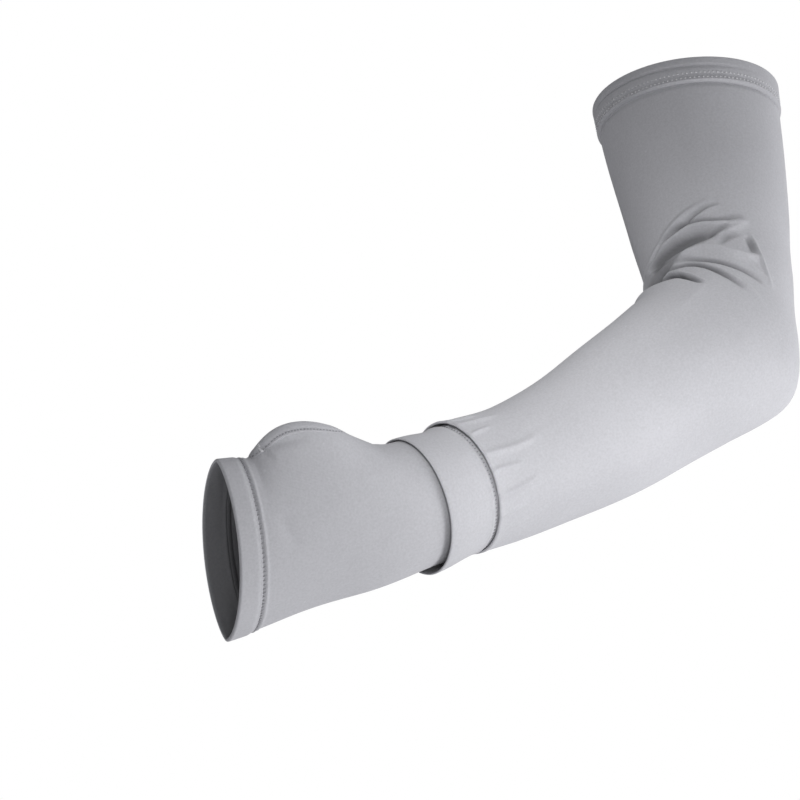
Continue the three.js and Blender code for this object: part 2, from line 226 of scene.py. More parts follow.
# %% Gathers, wrinkles and the far side
GATHERS = [
    ([(337, 17), (331, 21), (318, 27)], 1.4, 1.4, 1.1, 0.5),
    ([(337, 29), (330, 33), (310, 44)], 2.0, 2.0, 1.3, 0.5),
    ([(337, 48), (331, 49), (320, 52)], 1.5, 1.5, 1.1, 0.5),
    ([(337, 69), (322, 78), (296, 92)], 2.0, 2.0, 1.3, 0.5),
    ([(337, 85), (330, 88), (316, 96)], 1.3, 1.3, 1.1, 0.5),
    ([(337, 107), (328, 110), (308, 115)], 1.8, 1.8, 1.2, 0.5),
    ([(337, 125), (330, 127), (318, 130)], 1.4, 1.4, 0.9, 0.5),
    ([(337, 141), (330, 142), (306, 148)], 2.2, 2.2, 0.7, 0.7),
    ([(337, 172), (318, 177), (286, 179)], 2.6, 2.6, 0.55, 0.7),
    ([(337, 227), (328, 230), (310, 236)], 1.6, 1.6, 0.5, 0.6),
    ([(337, 301), (326, 304), (306, 310)], 1.8, 1.8, 0.5, 0.6),
]
WRINKLES = [
    ([(446, 4), (444, 8), (443, 14), (442, 19), (439, 26)], 0.9, 0.9, -1.5, 0.6),
    ([(444, 9), (442.5, 12), (441.5, 16), (440.5, 20), (438, 27)], 0.8, 1.3, 1.1, 0.6),
    ([(449, -8), (447, -2), (445.5, 9), (444.5, 18)], 0.9, 0.9, 0.6, 0.6),
    ([(446, 4), (438, 13), (432, 14), (422, 15)], 2.4, 2.4, -0.8, 0.7),
    ([(443, 62), (441, 76), (436, 90)], 3.5, 3.5, -0.5, 0.8),
    ([(410, 108), (394, 100), (378, 90)], 4.5, 4.5, 0.35, 0.8),
    ([(398, -60), (398, 45)], 9.0, 9.0, -1.6, 0.7),
    ([(383, -60), (383, 45)], 5.0, 5.0, 0.6, 0.7),
]


def far_side(folds, shift, share):
    rows = []
    for k, (places, up, down, high, taper) in enumerate(folds):
        moved = [(d + shift * np.sin(2.3 * k + 0.4), -a + 3 * np.cos(1.7 * k)) for d, a in places]
        rows.append((moved, 1.25 * up, 1.25 * down, share * high, taper))
    return rows


def deepened(folds, ridges, valleys):
    """The same folds with their ridges and valleys made higher and deeper by these shares."""
    return [(places, up, down, high * (ridges if high > 0 else valleys), taper)
            for places, up, down, high, taper in folds]


FRONT_FAN = deepened(FOLDS[4:], 1.7, 2.4)
FAR_FAN = far_side(FRONT_FAN, 2.5, 0.45)
ALL_FOLDS = BROAD_SHAPE + FOLDS[:4] + FRONT_FAN + FAR_FAN + GATHERS + WRINKLES
print("folds with both sides, gathers and wrinkles: %d" % len(ALL_FOLDS))

# %% [markdown]
# ### How high the cloth stands
# For a place on the unrolled cloth, the nearest point of a fold's line gives how far away it is and on
# which side. The height falls off as a bell, steep on one side where the two widths differ.

# %% Height of the folds
CLOTH_RADIUS = 0.25 * (OPENING[0] + WRIST[0]) / MM


def fold_height(fold, along, angle):
    places, up, down, high, taper = fold
    knots = np.array(places, float)
    middle = 0.5 * (knots[:, 1].min() + knots[:, 1].max())
    flat = np.stack([knots[:, 0], np.radians(knots[:, 1]) * CLOTH_RADIUS], axis=-1)
    lengths = np.linalg.norm(np.diff(flat, axis=0), axis=-1)
    starts = np.concatenate([[0], np.cumsum(lengths)])
    x = along
    y = np.radians(angle - 360 * np.round((angle - middle) / 360)) * CLOTH_RADIUS
    best = np.full(x.shape, 1e9)
    side = np.zeros(x.shape)
    share = np.zeros(x.shape)
    for k, size in enumerate(lengths):
        ux, uy = (flat[k + 1] - flat[k]) / size
        t = np.clip((x - flat[k, 0]) * ux + (y - flat[k, 1]) * uy, 0, size)
        dx, dy = x - flat[k, 0] - t * ux, y - flat[k, 1] - t * uy
        away = np.hypot(dx, dy)
        near = away < best
        best = np.where(near, away, best)
        side = np.where(near, dx * uy - dy * ux, side)
        share = np.where(near, (starts[k] + t) / starts[-1], share)
    toward_hand = side if flat[-1, 1] >= flat[0, 1] else -side
    width = np.where(toward_hand > 0, down, up)
    ends = np.sin(np.pi * np.clip(share, 0.002, 0.998)) ** taper
    return high * ends * np.exp(-(best / width) ** 2)


def relief(distance, angle):
    """Height of all the folds, in metres."""
    total = np.zeros(distance.shape)
    along = distance / MM
    for fold in ALL_FOLDS:
        reach = 4 * max(fold[1], fold[2])
        ends = [d for d, _ in fold[0]]
        close = (along > min(ends) - reach) & (along < max(ends) + reach)
        if close.any():
            total[close] += fold_height(fold, along[close], angle[close]) * MM
    return total


# %% [markdown]
# ### Shade in the folds
# Light hardly reaches the bottom of a fold, and soft lamps alone leave it too light. So a number on
# each vertex says how deep in a valley it lies, and the knit's colour is darkened by it. One more row
# darkens the bend itself, where the upper arm and the forearm shade each other.

# %% Depth in the valleys
BEND_SHADE = [([(147, -22), (139, 6), (132, 32), (127, 54)], 7.0, 3.5, -1.7, 0.35)]
SHADY = [fold for fold in FRONT_FAN + FAR_FAN if fold[3] < 0] + BEND_SHADE + far_side(BEND_SHADE, 2.5, 0.45)
DARKEST_DEPTH = 3.0


def fold_shade(distance, angle):
    depth = sum(-fold_height(fold, distance / MM, angle) for fold in SHADY)
    return np.clip(depth / DARKEST_DEPTH, 0, 1)


# %% [markdown]
# ## The thumb
# A thumb under the cloth lifts it into a long bulge on the hand's inner side. It is a smooth swelling
# along the width direction, steep at its front end and long at its back end.

# %% Thumb bulge
THUMB_RISE = 15 * MM
THUMB_RISE_FROM_RIM = 19.5 * MM
THUMB_RISE_LENGTH = 64.5 * MM
THUMB_RISE_ANGLE = -8
THUMB_RISE_SPREAD = 42


def wrap(angle):
    return angle - 360 * np.round(angle / 360)


def thumb_rise(distance, angle):
    share = np.clip((LENGTH - THUMB_RISE_FROM_RIM - distance) / THUMB_RISE_LENGTH, 0, 1)
    across = wrap(angle - THUMB_RISE_ANGLE) / THUMB_RISE_SPREAD
    return THUMB_RISE * np.sin(np.pi * share ** 0.74) * np.exp(-across ** 2)


# %% [markdown]
# ## A place on the cloth
# Everything that follows is put on the sleeve by three numbers: how far down it, how far round it and
# how far out from it. Angle 0 is the inner side of the elbow and 90 faces -Y.

# %% Cloth places
SHARPEST_TIP = 0.05


def cloth_points(distance, angle, outward, with_folds=True):
    distance, angle, outward = np.broadcast_arrays(
        *(np.asarray(v, float) for v in (distance, angle, outward)))
    wide, deep = oval_axes(distance)
    half_width, half_depth = half_sizes(distance)
    c, s = np.cos(np.radians(angle)), np.sin(np.radians(angle))
    point = np.maximum(oval_value(6, distance), 0)
    fullness = np.maximum(np.abs(s), SHARPEST_TIP) ** point
    nx, ny = half_depth * (1 + point) * fullness * c, half_width * s
    size = np.hypot(nx, ny)
    out = outward + (relief(distance, angle) if with_folds else 0)
    x = half_width * c + nx / size * out + thumb_rise(distance, angle)
    y = half_depth * s * fullness + ny / size * out
    return centre_at(distance) + wide * x[..., None] + deep * y[..., None]


def cloth_frames(distance, angle, outward):
    """Places with their directions down the sleeve, round it and out of it."""
    small, turn = 0.3 * MM, 0.4
    place = cloth_points(distance, angle, outward)
    down = cloth_points(distance + small, angle, outward) - cloth_points(distance - small, angle, outward)
    round_ = cloth_points(distance, angle + turn, outward) - cloth_points(distance, angle - turn, outward)
    down = unit(down)
    out = unit(np.cross(round_, down))
    outside = cloth_points(distance, angle, outward + small) - place
    out *= np.sign((out * outside).sum(-1))[..., None]
    return place, down, np.cross(out, down), out


# %% [markdown]
# ## Making a ring of cloth
# A sleeve piece is a ring with a thin wall. It could be a cylinder pushed into shape, but a flat grid
# is simpler to bend: one direction goes round the arm, the other follows the cloth's cut edge down the
# outside, over the rounded end and back up the inside. Merging the two borders closes the ring.

# %% Ring maker
def make_object(name, mesh):
    obj = bpy.data.objects.new(name, mesh)
    bpy.context.scene.collection.objects.link(obj)
    return obj


def rolled_grid(name, columns, rows, place, uv_of, inner_rows=None, shade=None):
    """A grid whose vertices are moved by place(column, row), with its borders merged and faces out."""
    bm = bmesh.new()
    bm.loops.layers.uv.new("cloth")
    bmesh.ops.create_grid(bm, x_segments=columns, y_segments=rows, size=1, calc_uvs=True)
    mesh = bpy.data.meshes.new(name)
    bm.to_mesh(mesh)
    bm.free()
    flat = np.zeros(len(mesh.vertices) * 3, np.float32)
    mesh.vertices.foreach_get("co", flat)
    flat = flat.reshape(-1, 3)
    column = np.rint((flat[:, 0] + 1) / 2 * columns).astype(int)
    row = np.rint((flat[:, 1] + 1) / 2 * rows).astype(int)
    corner = np.zeros(len(mesh.loops), np.int32)
    mesh.loops.foreach_get("vertex_index", corner)
    mesh.uv_layers["cloth"].data.foreach_set(
        "uv", uv_of(column[corner], row[corner]).astype(np.float32).ravel())
    mesh.vertices.foreach_set("co", place(column, row).astype(np.float32).ravel())
    if shade is not None:
        mesh.attributes.new("shade", "FLOAT", "POINT").data.foreach_set(
            "value", shade[row % rows, column % columns].astype(np.float32))
    if inner_rows is not None:
        inner = inner_rows[row[corner] % rows].reshape(-1, 4).all(axis=1)
        mesh.polygons.foreach_set("material_index", inner.astype(np.int32))
    bm = bmesh.new()
    bm.from_mesh(mesh)
    bmesh.ops.remove_doubles(bm, verts=bm.verts[:], dist=0.002 * MM)
    bmesh.ops.recalc_face_normals(bm, faces=bm.faces[:])
    for face in bm.faces:
        face.smooth = True
    bm.to_mesh(mesh)
    bm.free()
    return make_object(name, mesh)


def round_angles(count, dense=(), more=1.0):
    """Angles round the sleeve in 0 to 360, closer together between the two dense ones."""
    fine = np.linspace(0, 360, 3601)
    density = np.ones(fine.shape)
    if dense:
        density += more * smooth_step(dense[0] - 12, dense[0] + 4, fine) * (
            1 - smooth_step(dense[1] - 4, dense[1] + 12, fine))
    total = np.concatenate([[0], np.cumsum(0.5 * (density[1:] + density[:-1]))])
    return np.interp(np.linspace(0, total[-1], count + 1), total, fine)


def wall_profile(distances, thickness, top=0.0, round_steps=4):
    """The wall's cut edge: outside, rounded end, inside, rounded start, as distances and offsets."""
    radius = 0.5 * thickness
    start, end = distances[0], distances[-1]
    inner = np.array([d for d in distances if start + radius < d < end - radius])
    phi = np.radians(np.linspace(90, -90, round_steps + 1))
    far = np.stack([end - radius + radius * np.cos(phi), radius * np.sin(phi)], axis=-1)
    near = np.stack([start + radius - radius * np.cos(phi), -radius * np.sin(phi)], axis=-1)
    out = np.stack([inner, np.full(inner.shape, radius)], axis=-1)
    back = np.stack([inner[::-1], np.full(inner.shape, -radius)], axis=-1)
    edge = np.vstack([out, far, back, near])
    edge[:, 1] += top - radius
    return edge


def cloth_ring(name, profile, outside, angles, lining=0.05, lined_start=False):
    """The inner side's finish covers the lining share of the wall, and the start too where it is lined."""
    count, rows = len(angles) - 1, len(profile)
    distance, offset = profile[:, 0], profile[:, 1]
    grid_d, grid_a = np.meshgrid(distance, angles[:count], indexing="ij")
    places = cloth_points(grid_d, grid_a, outside(grid_a, grid_d) + offset[:, None])

    def place(column, row):
        return places[row % rows, column % count]

    def uv_of(column, row):
        return np.stack([angles[column] / 360, distance[row % rows]], axis=-1)

    inner_rows = offset < offset.min() + lining * (offset.max() - offset.min())
    inner_rows |= lined_start & (distance < distance.min() + 0.35 * MM)
    obj = rolled_grid(name, count, rows, place, uv_of, inner_rows, fold_shade(grid_d, grid_a))
    print("%s: %d faces" % (name, len(obj.data.polygons)))
    return obj


def spread(*stretches):
    """Distances over (from, to, step) stretches in mm, as metres."""
    parts = [np.linspace(a, b, max(int(round((b - a) / step)), 1), endpoint=False)
             for a, b, step in stretches]
    return np.concatenate(parts + [[stretches[-1][1]]]) * MM


# %% [markdown]
# ## The arm tube
# The longest piece, from under the upper hem to the wrist seam. Its end stands a little proud of the
# band on the inner side. The rings lie close together over the elbow's folds, and its columns are
# denser on the side where the folds are finest.

# %% Arm tube
def tube_outside(angle, distance):
    near_end = smooth_step(ARM_LENGTH - 2 * LAP, ARM_LENGTH, distance)
    seam_ridge = 0.35 * MM * np.exp(-((distance - ARM_LENGTH + 1.2 * MM) / (1.5 * MM)) ** 2)
    under_hem = -0.95 * MM * np.exp(-((distance - HEM_HEIGHT - 0.3 * MM) / (1.5 * MM)) ** 2)
    return 0.9 * MM * near_end * (0.5 + 0.5 * np.cos(np.radians(angle))) + seam_ridge + under_hem


tube_rings = spread(
    (14.6, 21, 0.64), (21, 96, 5), (96, 168, 0.8), (168, 192, 1.8), (192, 300, 5.2), (300, 337, 1.5))
tube_edge = wall_profile(tube_rings, CLOTH, round_steps=3)
tube_angles = round_angles(212, dense=(20, 128), more=1.2)
arm_tube = cloth_ring("knit_arm_tube", tube_edge, tube_outside, tube_angles)

# %% [markdown]
# ## The upper hem
# The knit is turned inward at the top and sewn down with two rows of stitches. The rim is round, a
# shallow groove runs under it where the turned cloth ends, the stitches pull a trough, and the last
# millimetre before the seam stands up as a fine ridge.

# %% Upper hem
def upper_hem_outside(angle, distance):
    mm = distance / MM
    left_half = np.exp(-(wrap(angle - 45) / 48) ** 2)
    groove = -0.9 * left_half * np.exp(-((mm - 4.6 - 0.012 * wrap(angle - 14)) / 0.8) ** 2)
    second = -0.3 * np.exp(-(wrap(angle - 92) / 30) ** 2) * np.exp(-((mm - 6.3) / 1.0) ** 2)
    trough = -0.5 * np.exp(-((mm - 11.9) / 1.9) ** 2)
    ridge = 0.25 * np.exp(-((mm - 14.6) / 0.7) ** 2)
    turned_under = -0.75 * smooth_step(14.4, 16, mm)
    return (groove + second + trough + ridge + turned_under) * MM


hem_angles = round_angles(180)
hem_rings = spread((0, 2, 0.4), (2, 16, 0.45))
hem_edge = wall_profile(hem_rings, HEM_THICKNESS, top=HEM_PROUD, round_steps=8)
upper_hem = cloth_ring("turned_upper_hem", hem_edge, upper_hem_outside, hem_angles, 0.3)

# %% [markdown]
# ## The wrist band
# A short over-cuff comes out from under the tube's end and widens until its free edge stands off the
# hand. A dark gap shows under that edge, widest below, where the band droops.

# %% Wrist band
def band_outside(angle, distance):
    share = smooth_step(ARM_LENGTH, ARM_LENGTH + BAND_LENGTH, distance)
    under_tube = -CLOTH - GAP
    free_edge = (1.6 + 1.2 * np.cos(np.radians(angle - 155))) * MM + CLOTH
    quick_rise = 0.9 * MM * smooth_step(337.3 * MM, 340.5 * MM, distance) * (1 - share)
    seam_ridge = 0.35 * MM * np.exp(-((distance - 339.8 * MM) / (0.8 * MM)) ** 2)
    return under_tube + (free_edge - under_tube) * share + quick_rise + seam_ridge


band_rings = spread((332, 337, 1.25), (337, 342, 0.5), (342, 366, 1.1))
wrist_band = cloth_ring("wrist_over_cuff", wall_profile(band_rings, CLOTH), band_outside, hem_angles, 0.78)

# %% [markdown]
# ## The hand cover
# The hand cover follows the band from inside and then the hand, up to the hand hem. It is an open
# sheet here, so that the thumb hole can be cut in it, and a Solidify modifier gives it its thickness.

# %% Hand cover sheet
def cover_outside(angle, distance):
    under_band = np.where(distance < ARM_LENGTH + BAND_LENGTH, band_outside(angle, distance) - CLOTH - GAP, 0)
    mm = distance / MM
    seam_ridge = 0.5 * MM * np.exp(-((mm - 453.4) / 0.7) ** 2)
    seam_groove = -0.5 * MM * np.exp(-((mm - 455.4) / 0.8) ** 2)
    return np.minimum(under_band, 0) + seam_ridge + seam_groove


cover_rings = spread((332, 366, 2.4), (366, 380, 2.0), (380, 449, 1.15), (449, 456.6, 0.6))
cover_angles = round_angles(190)
grid_d, grid_a = np.meshgrid(cover_rings, cover_angles[:-1], indexing="ij")
cover_places = cloth_points(grid_d, grid_a, cover_outside(grid_a, grid_d))
hand_cover = rolled_grid(
    "knit_hand_cover", len(cover_angles) - 1, len(cover_rings) - 1,
    lambda column, row: cover_places[row, column % (len(cover_angles) - 1)],
    lambda column, row: np.stack([cover_angles[column] / 360, cover_rings[row]], axis=-1))
print("knit_hand_cover: %d faces before the hole" % len(hand_cover.data.polygons))

# %% [markdown]
# ## The thumb hole
# A hole cut in a curved surface is easiest to think of from straight above it: a flat oval is held over
# the thumb's side and pressed down onto the cloth. A few steps of Newton's method find the cloth under
# each point of the oval.

# %% Oval over the thumb
HOLE_LENGTH = 44 * MM
HOLE_WIDTH = 19 * MM
HOLE_ANGLE = -26
HOLE_DISTANCE = LENGTH - 44 * MM
hole_place = cloth_points(HOLE_DISTANCE, HOLE_ANGLE, 0, False)
hole_out = unit(cloth_points(HOLE_DISTANCE, HOLE_ANGLE, 1 * MM, False) - hole_place)
hole_forward = heading_at(np.array(HOLE_DISTANCE))
hole_forward = unit(hole_forward - hole_out * (hole_forward @ hole_out))
hole_across = np.cross(hole_out, hole_forward)
print("thumb hole faces", np.round(hole_out, 2))


def over_hole(points):
    """Flat coordinates over the hole, forward and across."""
    away = points - hole_place
    return np.stack([away @ hole_forward, away @ hole_across], axis=-1)


def cloth_under(flat):
    """The cloth's distance and angle under points of the flat oval."""
    distance = HOLE_DISTANCE + flat[:, 0]
    angle = np.full(distance.shape, float(HOLE_ANGLE))
    small, turn = 0.2 * MM, 0.3
    for _ in range(12):
        here = over_hole(cloth_points(distance, angle, 0, False))
        by_distance = (over_hole(cloth_points(distance + small, angle, 0, False)) - here) / small
        by_angle = (over_hole(cloth_points(distance, angle + turn, 0, False)) - here) / turn
        miss = flat - here
        det = by_distance[:, 0] * by_angle[:, 1] - by_distance[:, 1] * by_angle[:, 0]
        move_d = (miss[:, 0] * by_angle[:, 1] - miss[:, 1] * by_angle[:, 0]) / det
        move_a = (by_distance[:, 0] * miss[:, 1] - by_distance[:, 1] * miss[:, 0]) / det
        distance = distance + np.clip(move_d, -4 * MM, 4 * MM)
        angle = angle + np.clip(move_a, -8, 8)
    return distance, angle


def oval(turn, wider=0.0):
    """Points of the hole's outline, moved outward by wider, for turns in degrees."""
    t = np.radians(turn)
    return np.stack([(HOLE_LENGTH / 2 + wider) * np.cos(t), (HOLE_WIDTH / 2 + wider) * np.sin(t)], axis=-1)


def beside_hole(turn, wider, steps=8):
    """The cloth's distance and angle a little outside the hole's edge, walked over the cloth."""
    distance, angle = cloth_under(oval(turn))
    behind = cloth_points(*cloth_under(oval(turn - 2)), 0, False)
    ahead = cloth_points(*cloth_under(oval(turn + 2)), 0, False)
    small, turned = 0.2 * MM, 0.3
    heading = np.cross(ahead - behind, hole_out)
    for _ in range(steps):
        here = cloth_points(distance, angle, 0, False)
        by_d = (cloth_points(distance + small, angle, 0, False) - here) / small
        by_a = (cloth_points(distance, angle + turned, 0, False) - here) / turned
        out = unit(np.cross(by_a, by_d))
        heading = unit(heading - out * (heading * out).sum(-1)[:, None])
        dd, da, aa = (by_d * by_d).sum(-1), (by_d * by_a).sum(-1), (by_a * by_a).sum(-1)
        hd, ha = (heading * by_d).sum(-1), (heading * by_a).sum(-1)
        det = (dd * aa - da * da) * steps / wider
        distance = distance + (hd * aa - ha * da) / det
        angle = angle + (ha * dd - hd * da) / det
    return distance, angle


# %% [markdown]
# ### Cutting the hole
# Faces under the oval go, and the ragged border left behind is moved onto the oval itself.

# %% Cut the thumb hole
def cut_thumb_hole(obj):
    bm = bmesh.new()
    bm.from_mesh(obj.data)
    half = np.array([HOLE_LENGTH / 2, HOLE_WIDTH / 2])
    centres = np.array([face.calc_center_median() for face in bm.faces])
    flat = over_hole(centres)
    facing = (centres - hole_place) @ hole_out
    inside = ((flat / half) ** 2).sum(-1) < 1
    on_this_side = facing > -12 * MM
    bm.faces.ensure_lookup_table()
    gone = [bm.faces[k] for k in np.nonzero(inside & on_this_side)[0]]
    bmesh.ops.delete(bm, geom=gone, context="FACES")
    border = [v for v in bm.verts if v.is_boundary]
    flat = over_hole(np.array([v.co for v in border]))
    near = ((flat / (half + 6 * MM)) ** 2).sum(-1) < 1
    border = [v for v, keep in zip(border, near) if keep]
    flat = flat[near]
    turn = np.degrees(np.arctan2(flat[:, 1] / half[1], flat[:, 0] / half[0]))
    distance, angle = cloth_under(oval(turn))
    for v, co in zip(border, cloth_points(distance, angle, cover_outside(angle, distance))):
        v.co = co
    bm.to_mesh(obj.data)
    bm.free()
    return len(gone), len(border)


print("thumb hole: %d faces cut, %d border vertices on the oval" % cut_thumb_hole(hand_cover))
wall = hand_cover.modifiers.new("cloth thickness", "SOLIDIFY")
wall.thickness = CLOTH
wall.offset = -1
wall.material_offset = 1
wall.material_offset_rim = 1

# %% [markdown]
# ## The thumb hole's hem
# The edge of the hole is turned and sewn like the other hems, only narrower. The same rolled grid
# makes it: one direction goes round the oval, the other round the hem's cut edge.

# %% Thumb hole hem
THUMB_HEM = 5.2 * MM
THUMB_STITCH_LINE = 4.0 * MM
HEM_OVERHANG = 0.4 * MM
LIP = 1.2 * MM
hem_turns = np.linspace(0, 360, 97)


def thumb_hem_top(turn, wider):
    """How far the hem stands off the cloth: its lip, most toward -Y, and the groove of its stitches."""
    turn = np.radians(turn)
    lip = LIP * np.clip(np.sin(turn + 0.35), 0, 1) ** 2 * (1 - smooth_step(-1 * MM, THUMB_HEM, wider))
    proud = 0.75 * MM * (1 - 0.75 * np.clip(-np.cos(turn), 0, 1) ** 2)
    return lip + proud - 0.5 * MM * np.exp(-((wider - THUMB_STITCH_LINE) / (0.6 * MM)) ** 2)


def oval_ring(name, width, thickness, steps):
    radius = 0.5 * thickness
    phi = np.radians(np.linspace(90, -90, 5))
    inner = np.linspace(radius, width - radius, steps)
    far = np.stack([width - radius + radius * np.cos(phi), radius * np.sin(phi)], axis=-1)
    near = np.stack([radius - radius * np.cos(phi), -radius * np.sin(phi)], axis=-1)
    across = np.vstack([
        np.stack([inner[1:-1], np.full(steps - 2, radius)], axis=-1), far,
        np.stack([inner[-2:0:-1], np.full(steps - 2, -radius)], axis=-1), near])
    places = []
    for wider, height in across:
        distance, angle = beside_hole(hem_turns[:-1], wider - HEM_OVERHANG)
        base = cover_outside(angle, distance) + thumb_hem_top(hem_turns[:-1], wider) - radius + height
        places.append(cloth_points(distance, angle, base))
    places = np.array(places)
    count, rows = len(hem_turns) - 1, len(across)
    return rolled_grid(
        name, count, rows, lambda column, row: places[row % rows, column % count],
        lambda column, row: np.stack([column / count, across[row % rows, 0]], axis=-1))


thumb_hem = oval_ring("thumb_hole_hem", THUMB_HEM, 1.7 * MM, 13)
print("thumb_hole_hem: %d faces" % len(thumb_hem.data.polygons))

# %% [markdown]
# ## The hand hem
# The last piece of cloth ends the hand cover. Its rim is round and its seam is pulled in a little.

# %% Hand hem
def hand_hem_outside(angle, distance):
    mm = distance / MM
    return -0.5 * np.exp(-((mm - 456.6) / 1.2) ** 2) * MM


hand_hem_rings = spread((455.5, 466, 0.55), (466, 468, 0.4))
hand_hem_edge = wall_profile(hand_hem_rings, HEM_THICKNESS, top=HEM_PROUD, round_steps=8)
hand_hem = cloth_ring("turned_hand_hem", hand_hem_edge, hand_hem_outside, hem_angles, 0.5, True)

# %% [markdown]
# ## Stitches
# Each stitch is a short bump of thread lying on the cloth. A curve with a bevel would do for one, but
# for hundreds a small squashed ball with a few dozen faces is enough. A seat is a place on the cloth
# with its directions, so a row of stitches is a row of seats.

# %% Stitch maker
THREAD = 0.42 * MM


def seat_matrix(place, direction, out, length, width, height):
    across = np.cross(out, direction)
    m = np.eye(4)
    m[:3, 0], m[:3, 1], m[:3, 2], m[:3, 3] = direction * length, across * width, out * height, place
    return Matrix(m.tolist())


def sew(name, seats):
    bm = bmesh.new()
    for seat in seats:
        bmesh.ops.create_uvsphere(bm, u_segments=6, v_segments=5, radius=0.5, matrix=seat)
    for face in bm.faces:
        face.smooth = True
    mesh = bpy.data.meshes.new(name)
    bm.to_mesh(mesh)
    bm.free()
    print("%s: %d stitches" % (name, len(seats)))
    return make_object(name, mesh)


def seats_on(distance, angle, outward, length, width, height, slant=0.0, sideways=False):
    """Seats for stitches along the row, or across it where sideways."""
    place, down, round_, out = cloth_frames(distance, angle, outward)
    along = down if sideways else round_
    other = round_ if sideways else down
    tilt = np.radians(slant)
    direction = along * np.cos(tilt) + other * np.sin(tilt)
    return [seat_matrix(p, d, o, length, width, height) for p, d, o in zip(place, direction, out)]


def row_angles(count, start=0.0):
    return start + 360 * np.arange(count) / count


# %% [markdown]
# ### Rows of stitches
# The upper hem is sewn with two parallel rows. The wrist, the hand hem and the thumb hole show one row
# each. Threads lie in the trough that they pull, half sunk in the cloth.

# %% Rows of the upper hem
def hem_row(distance, start, slant):
    angle = row_angles(132, start)
    distance = np.full(angle.shape, distance)
    base = upper_hem_outside(angle, distance) + HEM_PROUD + 0.1 * MM
    return seats_on(distance, angle, base, 1.25 * MM, THREAD * 1.9, THREAD * 1.9, slant)


upper_stitches = sew("upper_hem_stitches", hem_row(10.4 * MM, 0.0, 12) + hem_row(13.4 * MM, 1.36, -12))

# %% Stitches of the wrist seam
wrist_angle = row_angles(96)
wrist_distance = np.full(wrist_angle.shape, 337.8 * MM)
wrist_stitches = sew("wrist_seam_stitches", seats_on(
    wrist_distance, wrist_angle, band_outside(wrist_angle, wrist_distance) + 0.15 * MM,
    1.5 * MM, THREAD * 1.4, THREAD * 1.5, 0.0, True))

# %% Row of the hand hem
hand_angle = row_angles(116)
hand_distance = np.full(hand_angle.shape, 455.3 * MM)
hand_stitches = sew("hand_hem_stitches", seats_on(
    hand_distance, hand_angle, 0.3 * MM, 1.9 * MM, THREAD * 1.3, THREAD * 1.8, 0.0, True))

# %% Row of the thumb hole
def on_thumb_hem(turns, wider, outward):
    distance, angle = beside_hole(turns, wider)
    top = thumb_hem_top(turns, wider + HEM_OVERHANG)
    return distance, angle, cover_outside(angle, distance) + outward + top


def oval_row(wider, turns, length, outward):
    place, _, _, out = cloth_frames(*on_thumb_hem(turns, wider, outward))
    direction = cloth_points(*on_thumb_hem(turns + 1.5, wider, outward)) - place
    direction = unit(direction - out * (direction * out).sum(-1)[:, None])
    return [seat_matrix(p, d, o, length, THREAD * 1.3, THREAD * 1.6)
            for p, d, o in zip(place, direction, out)]


def even_turns(count, wider):
    """Turns of the oval that lie an even distance apart."""
    fine = np.linspace(0, 360, 721)
    length = np.concatenate([[0], np.cumsum(np.linalg.norm(np.diff(oval(fine, wider), axis=0), axis=-1))])
    return np.interp(np.arange(count) / count * length[-1], length, fine)


thumb_stitches = sew("thumb_hole_stitches", oval_row(
    THUMB_STITCH_LINE - HEM_OVERHANG, even_turns(66, THUMB_STITCH_LINE - HEM_OVERHANG), 1.25 * MM, 0.15 * MM))

# %% [markdown]
# ### The bartack
# A short dense bar of thread across the thumb hole's hem locks its front end, where it would tear first.

# %% Bartack
TACK_TURN = 24.0
bar = [oval_row(wider, np.array([TACK_TURN]), 1.8 * MM, 0.25 * MM)[0]
       for wider in np.linspace(1.6, 4.8, 8) * MM]
bartack = sew("thumb_hole_bartack", bar)

# %% [markdown]
# ## Knit and thread
# The cloth is a very fine smooth knit: upright columns of loops about half a millimetre wide. Its colour
# is a light cool grey with faint flecks. The pattern follows the cloth's own UV map, so it bends with
# the sleeve. The loops go into a small bump, and sheen gives the soft glow at grazing angles.

# %% Node helpers
def add(nodes, kind, x, y, **values):
    node = nodes.new(kind)
    node.location = (x, y)
    for name, value in values.items():
        setattr(node, name, value)
    return node


def math_node(tree, operation, a, b=None, x=0, y=0):
    node = add(tree.nodes, "ShaderNodeMath", x, y, operation=operation)
    for socket, value in zip(node.inputs, (a, b)):
        if value is None:
            continue
        if hasattr(value, "links"):
            tree.links.new(value, socket)
        else:
            socket.default_value = value
    return node.outputs[0]


def new_material(name):
    material = bpy.data.materials.new(name)
    material.use_nodes = True
    tree = material.node_tree
    return material, tree, tree.nodes["Principled BSDF"]


